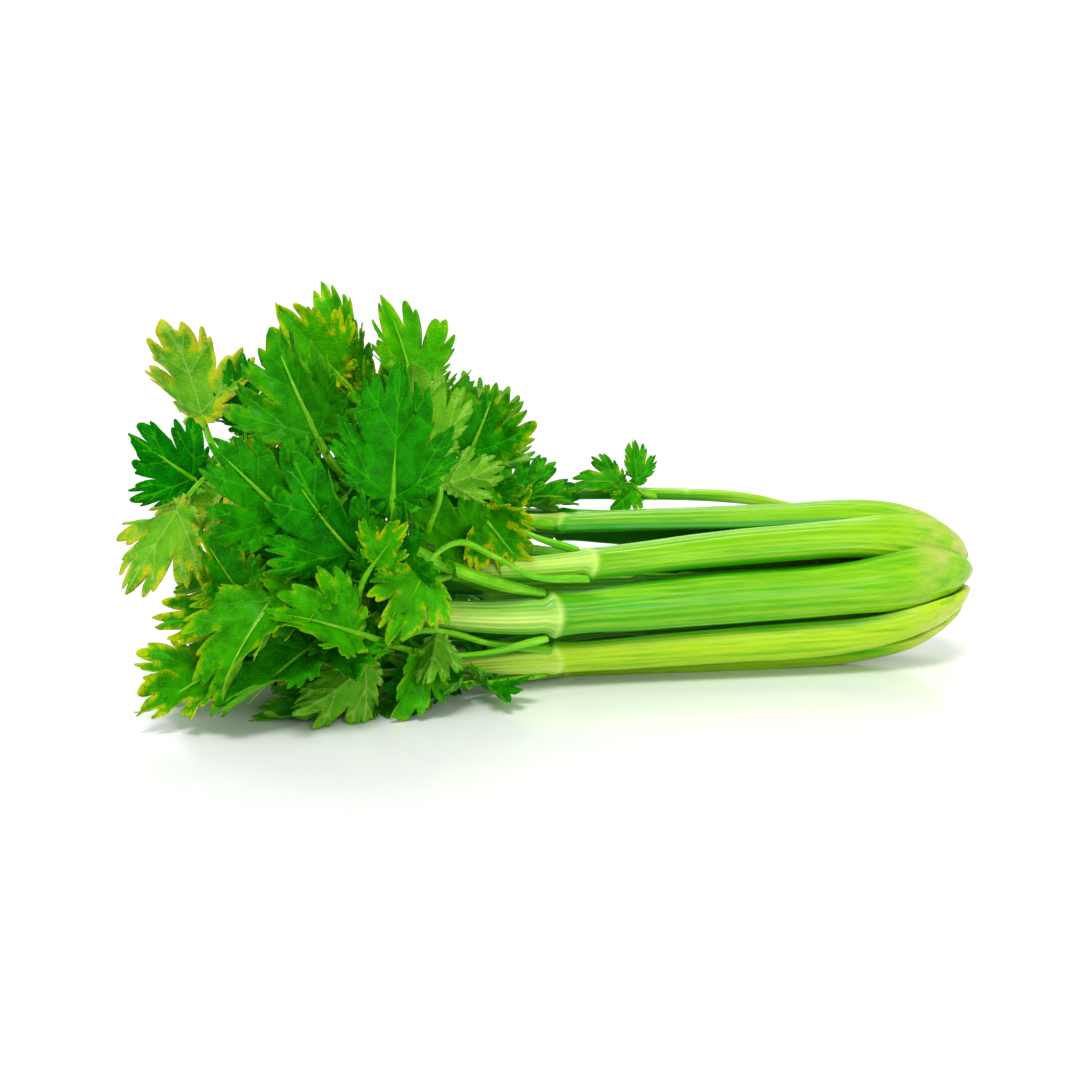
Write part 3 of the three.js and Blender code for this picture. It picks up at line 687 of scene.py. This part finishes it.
def lobed_blade(rng, length, width):
    """A blade laid flat, its base at the origin and its tip along the first axis. Gives its points and
    triangles, each point's distance from the rim and from the nearest vein, the second also in widths of the
    vein, and the hub."""
    half = through(ENVELOPE, np.linspace(0, 1, len(ENVELOPE)), np.linspace(0, 1, 200)) * [length, width / 2]
    hub = np.array([HUB * length, 0])
    half_angle = np.degrees(np.arctan2(half[:, 1], half[:, 0] - hub[0]))[::-1]
    half_radius = np.hypot(half[:, 1], half[:, 0] - hub[0])[::-1]
    teeth = 3 if length > LARGE_BLADE else 2
    lobes = SINUSES + rng.uniform(-4, 4, len(SINUSES))
    parts = split(lobes, 3, rng)
    tips = split(parts, teeth, rng)
    lobe_depth = rng.uniform(0.24, 0.4, len(lobes) - 1)
    part_depth = rng.uniform(0.13, 0.24, len(parts) - 1)
    tooth_depth = rng.uniform(0.08, 0.15, len(tips) - 1)

    def radius(angle):
        r = np.interp(abs(angle), half_angle, half_radius)
        r = r * notched(angle, lobes, LOBE_LEAN, lobe_depth, 2.6)
        r = r * notched(angle, parts, PART_LEAN, part_depth, 2.0)
        return r * notched(angle, tips, TOOTH_LEAN, tooth_depth, 1.5)

    def spot(angle, share=1.0):
        r, a = radius(angle) * share, np.radians(angle)
        return hub + np.stack([r * np.cos(a), r * np.sin(a)], axis=-1)

    fine = spot(np.linspace(-180, 180, 3001)[:-1])
    fine = np.concatenate([fine, fine[:1]])
    run = lengths(fine)
    at = np.linspace(0, run[-1], int(run[-1] / (0.6 * BLADE_STEP)), endpoint=False)
    rim = np.stack([np.interp(at, run, fine[:, k]) for k in (0, 1)], axis=1)

    # Veins: along the middle, to each lobe, from there to each part of it, and from there to each tooth.
    veins = [(np.zeros(2), spot(0.0, 0.96), MIDRIB)]
    tooth_at = crests(tips, TOOTH_LEAN)
    for i, angle in enumerate(crests(lobes, LOBE_LEAN)):
        main = abs(angle) < 20
        if main:
            lobe = (hub, spot(0.0, 0.96), MIDRIB)
        else:
            start = hub * (0.2 if abs(angle) > 90 else 1)
            lobe = (start, spot(angle, 0.94), LOBE_VEIN)
            veins.append(lobe)
        for j, part_angle in enumerate(crests(parts, PART_LEAN)):
            if not lobes[i] < part_angle < lobes[i + 1]:
                continue
            if j % 3 == 1:
                part = lobe
            else:
                begin = lobe[0] + (lobe[1] - lobe[0]) * (0.42 if main else 0.36)
                part = (begin, spot(part_angle, 0.93), PART_VEIN)
                veins.append(part)
            for tooth_angle in tooth_at:
                if parts[j] < tooth_angle < parts[j + 1] and abs(tooth_angle - part_angle) > 2.5:
                    begin = part[0] + (part[1] - part[0]) * 0.62
                    veins.append((begin, spot(tooth_angle, 0.93), TOOTH_VEIN))

    # The triangles' other corners: along the veins, and in rows inside the rim, clear of it and of the veins.
    outline_start, outline_end = rim, np.roll(rim, -1, axis=0)
    vein_points, vein_edges = [], []
    for start, end, _ in veins:
        count = max(2, int(np.linalg.norm(end - start) / BLADE_STEP) + 1)
        first = len(rim) + len(vein_points)
        vein_points += list(start + (end - start) * np.linspace(0, 1, count)[:, None])
        vein_edges += [(first + k, first + k + 1) for k in range(count - 1)]
    vein_points = np.array(vein_points)
    low, high = rim.min(axis=0), rim.max(axis=0)
    rows = np.arange(low[1], high[1], BLADE_STEP * 0.87)
    cells = np.array(
        [
            (x, y)
            for k, y in enumerate(rows)
            for x in np.arange(low[0] + (k % 2) * BLADE_STEP / 2, high[0], BLADE_STEP)
        ]
    )
    level = cells[:, None, 1]
    crossing = (outline_start[:, 1] > level) != (outline_end[:, 1] > level)
    run_x, rise = (outline_end - outline_start).T
    rise = np.where(rise == 0, 1e-12, rise)
    meets = outline_start[:, 0] + (level - outline_start[:, 1]) * run_x / rise
    within = (crossing & (cells[:, None, 0] < meets)).sum(axis=1) % 2 == 1
    cells = cells[within]
    starts = np.array([v[0] for v in veins])
    ends = np.array([v[1] for v in veins])
    clear = near_lines(cells, outline_start, outline_end).min(axis=1) > 0.5 * BLADE_STEP
    clear &= near_lines(cells, starts, ends).min(axis=1) > 0.45 * BLADE_STEP
    cells = cells[clear]
    corners = np.concatenate([rim, vein_points, cells])
    edges = [(k, (k + 1) % len(rim)) for k in range(len(rim))] + vein_edges
    inside_only, tolerance = 1, 1e-4
    spots = [Vector(p) for p in corners / MM]
    flat, _, faces, *_ = delaunay_2d_cdt(spots, edges, [], inside_only, tolerance)
    flat = np.array([p[:] for p in flat]) * MM
    away = near_lines(flat, outline_start, outline_end).min(axis=1)
    to_veins = near_lines(flat, starts, ends)
    widths = np.array([v[2] for v in veins]) * MM
    return flat, faces, away, to_veins.min(axis=1), (to_veins / widths).min(axis=1), hub


def warp(flat_knots, knots, flat):
    """Carries flat points over with the thin-plate spline that takes flat_knots to knots."""

    def bent(a, b):
        squares = ((a[:, None] - b[None]) ** 2).sum(axis=-1)
        return squares * np.log(np.maximum(squares, 1e-12))

    size = np.ptp(flat_knots, axis=0).max()
    give = 2e-3  # lets the surface miss its knots a little, so that it is smooth
    q = flat_knots / size
    plain = np.column_stack([np.ones(len(q)), q])
    system = np.block([[bent(q, q) + give * np.eye(len(q)), plain], [plain.T, np.zeros((3, 3))]])
    weights = np.linalg.solve(system, np.concatenate([knots, np.zeros((3, 3))]))
    p = flat / size
    return np.hstack([bent(p, q), np.ones((len(p), 1)), p]) @ weights


def point_normals(points, faces):
    f = np.array(faces)
    each = np.cross(points[f[:, 1]] - points[f[:, 0]], points[f[:, 2]] - points[f[:, 0]])
    total = np.zeros_like(points)
    for k in range(3):
        np.add.at(total, f[:, k], each)
    return unit(total)


def make_leaf(node):
    """A leaf: its CAD blade made fine and lobed, its stem, and a leaflet on each side of the stem."""
    rings = rings_of(node, len(LEAF_KNOTS))
    rng = np.random.default_rng(sum((i + 1) * ord(c) for i, c in enumerate(node)))
    age, tone = LOOKS.get(node, (rng.uniform(0.05, 0.3), rng.uniform(0.05, 0.5)))

    # The blade's middle surface, in five columns from edge to edge, and where they lie when it is laid flat.
    rows = rings[STEM_ROWS:]
    between = [(rows[:, k] + rows[:, 8 - k]) / 2 for k in (1, 2, 3)]
    columns = np.stack([rows[:, 0], *between, rows[:, 4]], axis=1)
    spine = columns[:, 2]
    run = lengths(spine)
    tangent = unit(np.gradient(spine, axis=0))
    offset = columns - spine[:, None]
    lengthwise = (offset * tangent[:, None]).sum(axis=-1)
    sideways = np.sqrt(np.maximum((offset**2).sum(axis=-1) - lengthwise**2, 0)) * [1, 1, 0, -1, -1]
    flat_knots = np.stack([run[:, None] + lengthwise, sideways], axis=-1)
    keep = np.ones(columns.shape[:2], bool)
    keep[[0, -1]] = [False, False, True, False, False]
    length, width = run[-1] * BLADE_GROWTH[0], 2 * abs(sideways).max() * BLADE_GROWTH[1]
    blade = lobed_blade(rng, length, width)
    shells = Shells()
    surface = warp(flat_knots[keep], columns[keep], blade[0])
    add_blade(shells, blade, surface, (length, width), (age, tone), rng)
    stalk = add_stem(shells, rings, columns)

    # Smaller leaflets, one on each side of the stem below the blade.
    stalk_length = lengths(stalk)
    normal = unit(np.cross(tangent[1], columns[1, 0] - columns[1, 4]))
    for side in () if node in LONE_BLADES else (1, -1):
        at = stalk_length[-1] * rng.uniform(*LEAFLET_PLACE)
        root = through(stalk, stalk_length, np.array([at]))[0]
        forward = unit(through(stalk, stalk_length, np.array([at + 1e-4]))[0] - root)
        beside = side * unit(np.cross(normal, forward))
        ahead = unit(forward * rng.uniform(0.3, 0.7) + beside + normal * rng.uniform(-0.35, 0.35))
        facing = normal + side * 0.4 * beside * rng.uniform(-1, 1)
        size = np.array([length, width]) * rng.uniform(*LEAFLET_SIZE)
        add_leaflet(shells, root, ahead, facing, size, (age, tone), rng)
    return shells.make(node, [UPPER, UNDER, STEM])


def add_leaflet(shells, root, ahead, facing, size, look, rng):
    """A blade with no CAD blade of its own, which sets out from root and curls as it goes."""
    across = unit(np.cross(facing, ahead))
    up = np.cross(ahead, across)
    blade = lobed_blade(rng, *size)
    a, b = blade[0].T / size[0]
    bow = rng.uniform(*LEAFLET_BOW) * a**2 + LEAFLET_TROUGH * abs(b)
    surface = root + size[0] * (a[:, None] * ahead + b[:, None] * across + bow[:, None] * up)
    add_blade(shells, blade, surface, size, look, rng)


def make_heart_leaves(node):
    """The young leaves of an inner rib that has none in the CAD: they fill the middle of the head's leaves.
    Each stem is a single thin bend, from the rib's end out to its leaf."""
    rings = rings_of(node, len(RIB_KNOTS))
    rng = np.random.default_rng(sum(map(ord, node)))
    end = rings[-1].mean(axis=0)
    forward = unit(end - rings[-2].mean(axis=0))
    shells = Shells()
    turn = np.radians(np.arange(12) * 30.0)[:, None]
    for a in np.radians(rng.uniform(0, 60) + YOUNG_ROUND):
        out = np.array([0, -np.cos(a), np.sin(a)])
        reach = rng.uniform(*YOUNG_REACH) * MM
        root = end + forward * reach + out * rng.uniform(*YOUNG_ASIDE) * MM
        root[2] = max(root[2], YOUNG_LOWEST)
        t = np.linspace(0, 1, 24)[:, None]
        path = end * (1 - t) ** 2 + 2 * (end + forward * reach * 0.6) * t * (1 - t) + root * t**2
        ahead = unit(forward + 0.8 * out + [0, 0, 0.3])
        path = np.concatenate([[end - forward * 3 * MM], path, [root + ahead * 2 * MM]])
        along = unit(np.gradient(path, axis=0))
        first = unit(np.cross(along, [0, 0, 1]))
        second = np.cross(first, along)
        thick = np.linspace(1.5, 1, len(path))[:, None, None] * MM
        grid = path[:, None] + thick * (np.cos(turn) * first[:, None] + np.sin(turn) * second[:, None])
        values = {"along": 0.3, "ridge": 0.0, "joint": 0.0, "tone": 0.2, "flank": 0.0}
        add_tube(shells, grid, ([2] * len(turn), 2, 2), values)
        size = np.array([rng.uniform(*YOUNG_LENGTH), rng.uniform(*YOUNG_WIDTH)]) * MM
        facing = np.array([rng.uniform(-0.4, 0.4), -1.0, 0.4]) + 0.4 * out
        look = (rng.uniform(0.05, 0.3), rng.uniform(0.2, 0.6))
        add_leaflet(shells, root, ahead, facing, size, look, rng)
    return shells.make(node, [UPPER, UNDER, STEM], "leaves_")


def add_blade(shells, blade, surface, size, look, rng):
    """Thickens a blade's surface, which ruffles towards its margin and bulges between its veins."""
    flat, faces, away, to_vein, vein, hub = blade
    length, width = size
    normal = point_normals(surface, faces)
    angle = np.arctan2(flat[:, 1], flat[:, 0] - hub[0])
    reach = np.hypot(flat[:, 1], flat[:, 0] - hub[0]) / (0.5 * length)
    edge = np.clip(away / (0.16 * width), 0, 1)
    turns = rng.uniform(0, ONE_TURN, 4)
    curl = np.sin(2 * angle + turns[0]) + 0.8 * np.sin(3 * angle + turns[1])
    ruffle = np.sin(9 * angle + turns[2]) + 0.7 * np.sin(14 * angle + turns[3])
    lift = CURL * width * curl * np.clip(reach, 0, 1.6) ** 2
    lift += RUFFLE * width * ruffle * (1 - edge) ** 2
    lift += QUILTING * smoothstep(to_vein, 0, 2.4 * MM) - GROOVE * (vein < 1)
    lift += rng.uniform(0.1, 0.4) * (abs(flat[:, 1]) - 0.12 * width)
    surface = surface + normal * lift[:, None]
    surface[:, 2] = np.maximum(surface[:, 2], 2 * BLADE_HALF)
    normal = point_normals(surface, faces)

    half = BLADE_HALF * (0.45 + 0.55 * smoothstep(away, 0, 1 * MM))
    keel = KEEL * np.exp(-(vein**2)) * smoothstep(away, 0, 3 * MM)
    under = surface - normal * (half + keel)[:, None]
    under[:, 2] = np.maximum(under[:, 2], 0.05 * MM)
    count = len(flat)
    sides = {(a, b) for f in faces for a, b in zip(f, f[1:] + f[:1])}
    border = sorted((a, b) for a, b in sides if (b, a) not in sides)
    whole = [list(f) for f in faces]
    whole += [[count + i for i in reversed(f)] for f in faces]
    whole += [[b, a, count + a, count + b] for a, b in border]
    finishes = [0] * len(faces) + [1] * (len(faces) + len(border))
    values = {"edge": edge, "vein": vein, "age": look[0], "tone": look[1]}
    values = {key: np.tile(np.broadcast_to(v, count), 2) for key, v in values.items()}
    places = np.tile(flat / FLAT_UNIT + rng.uniform(0, 20, 2), (2, 1))
    shells.add(np.concatenate([surface + normal * half[:, None], under]), whole, finishes, values, places)


def add_stem(shells, rings, columns):
    """A leaf's stem: from a little way inside its rib, through its rings, and on under the blade as its
    midrib. A first ring that is too narrow is widened. Gives the stem's middle line as far as the blade."""
    tube = rings[: STEM_ROWS + 1].copy()
    first = tube[0].mean(axis=0)
    spans = [np.linalg.norm(tube[0, k] - tube[0, k + 4]) for k in (0, 2)]
    if spans[0] < 0.6 * spans[1]:
        wide = unit(tube[0, 0] - tube[0, 4])
        tube[0] += ((tube[0] - first) @ wide * (0.8 * spans[1] / spans[0] - 1))[:, None] * wide
    inward = unit(first - tube[1].mean(axis=0))
    buried = first + inward * STEM_BURIED + (tube[0] - first) * 0.9
    spine = columns[:, 2]
    normal = unit(np.cross(np.gradient(spine, axis=0), columns[:, 0] - columns[:, 4]))
    shape = tube[-1] - tube[-1].mean(axis=0)
    midrib = [spine[k] - normal[k] * size * 0.9 * MM + shape * size for k, size in MIDRIB_RINGS]
    whole = np.concatenate([[buried], tube, midrib])
    whole[..., 2] = np.maximum(whole[..., 2], 0.1 * MM)
    length = lengths(whole.mean(axis=1))
    at = np.linspace(0, length[-1], max(12, int(length[-1] / (1.5 * MM))))
    turn = np.arange(24) * 15.0
    grid = round_ring(through(whole, length, at), LEAF_KNOTS, turn)
    ridge = (0.5 + 0.5 * np.cos(np.radians(turn * 6))) * np.ones((len(at), 1))
    thickness = np.linalg.norm(grid - grid.mean(axis=1, keepdims=True), axis=-1)
    grid = grid + outward(grid) * (0.08 * thickness * (ridge - 0.5))[..., None]
    grid[..., 2] = np.maximum(grid[..., 2], 0.05 * MM)
    values = {"along": 0.3, "ridge": 0.7 * ridge, "joint": 0.0, "tone": 0.1, "flank": 0.0}
    add_tube(shells, grid, ([2] * len(turn), 2, 2), values)
    return tube.mean(axis=1)


# ---- The head ----

PARTED_RIBS = ("rib_front_top", "rib_front_middle")  # with a gap between them that shows the inner ribs
BARE_RIBS = ("rib_inner_3", "rib_inner_4", "rib_heart_1", "rib_heart_2")  # whose leaves the CAD leaves out

for node in sorted(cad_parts):
    if node == "root_crown":
        make_crown(node)
    elif "leaf" in node:
        make_leaf(node)
    elif node.startswith("rib_inner") or node.startswith("rib_heart"):
        # The inner ribs are painted almost all over with the painted shade of the flanks.
        make_stalk(node, around=56, step=2.5 * MM, ridges=7, relief=0.35 * MM, deep=0.9)
        if node in BARE_RIBS:
            make_heart_leaves(node)
    elif node.startswith("rib"):
        slim = 0.1 if node in PARTED_RIBS else 0.0
        make_stalk(node, around=120, step=1.4 * MM, ridges=11, relief=0.45 * MM, spread=0.2, slim=slim)
    else:
        make_stalk(node, around=48, step=1.4 * MM, ridges=6, relief=0.3 * MM, jointed=False)


# ---- Surroundings ----

def add_floor():
    n = Nodes("floor")
    surface = n.add("BsdfPrincipled", {"Base Color": (0.95, 0.95, 0.95, 1), "Roughness": 0.13, "IOR": 1.45})
    n.put(n.output.inputs["Surface"], surface.outputs[0])
    mesh = bpy.data.meshes.new("floor")
    half = 6.0
    corners = [(-half, -half, 0), (half, -half, 0), (half, half, 0), (-half, half, 0)]
    mesh.from_pydata(corners, [], [(0, 1, 2, 3)])
    mesh.materials.append(n.material)
    floor = bpy.data.objects.new("floor", mesh)
    bpy.context.scene.collection.objects.link(floor)


def studio_world():
    """A white surround that is greyer overhead, so that the lights give the shapes their shade."""
    world = bpy.data.worlds.new("studio")
    world.use_nodes = True
    nodes, links = world.node_tree.nodes, world.node_tree.links
    height = nodes.new("ShaderNodeSeparateXYZ")
    links.new(nodes.new("ShaderNodeTexCoord").outputs["Generated"], height.inputs[0])
    strength = nodes.new("ShaderNodeMapRange")
    links.new(height.outputs["Z"], strength.inputs["Value"])
    for key, value in {"From Min": 0.1, "From Max": 0.4, "To Min": 1.0, "To Max": 0.6}.items():
        strength.inputs[key].default_value = value
    links.new(strength.outputs[0], nodes["Background"].inputs["Strength"])
    nodes["Background"].inputs["Color"].default_value = (1, 1, 1, 1)
    return world


def add_light(name, towards, spread, power):
    """A large soft source far away, so that it lights the floor evenly: spread is its width in degrees."""
    light = bpy.data.lights.new(name, "SUN")
    light.angle = math.radians(spread)
    light.energy = power
    lamp = bpy.data.objects.new(name, light)
    lamp.location = towards
    lamp.rotation_euler = (-towards).to_track_quat("-Z", "Y").to_euler()
    bpy.context.scene.collection.objects.link(lamp)


def add_camera(target, azimuth, elevation, distance):
    data = bpy.data.cameras.new("camera")
    data.lens = 85
    camera = bpy.data.objects.new("camera", data)
    a, e = math.radians(azimuth), math.radians(elevation)
    back = Vector((math.sin(a) * math.cos(e), -math.cos(a) * math.cos(e), math.sin(e)))
    camera.location = target + back * distance
    camera.rotation_euler = (-back).to_track_quat("-Z", "Y").to_euler()
    bpy.context.scene.collection.objects.link(camera)
    bpy.context.scene.camera = camera


lowest, highest = (Vector(corner) for corner in cad_bounds)
centre = (lowest + highest) / 2
look_at = Vector((centre.x - 6.5 * MM, centre.y, 70 * MM))  # what is in the middle of the picture
add_floor()
add_light("key", Vector((-0.25, -0.7, 1.3)), spread=20, power=1.9)
add_light("fill", Vector((0.3, -1.3, 0.5)), spread=30, power=0.8)
add_light("back", Vector((0.1, 1.1, 1.1)), spread=30, power=0.9)
bpy.context.scene.world = studio_world()
bpy.context.scene.view_settings.view_transform = "Standard"
add_camera(look_at, azimuth=-10, elevation=11, distance=1.29)

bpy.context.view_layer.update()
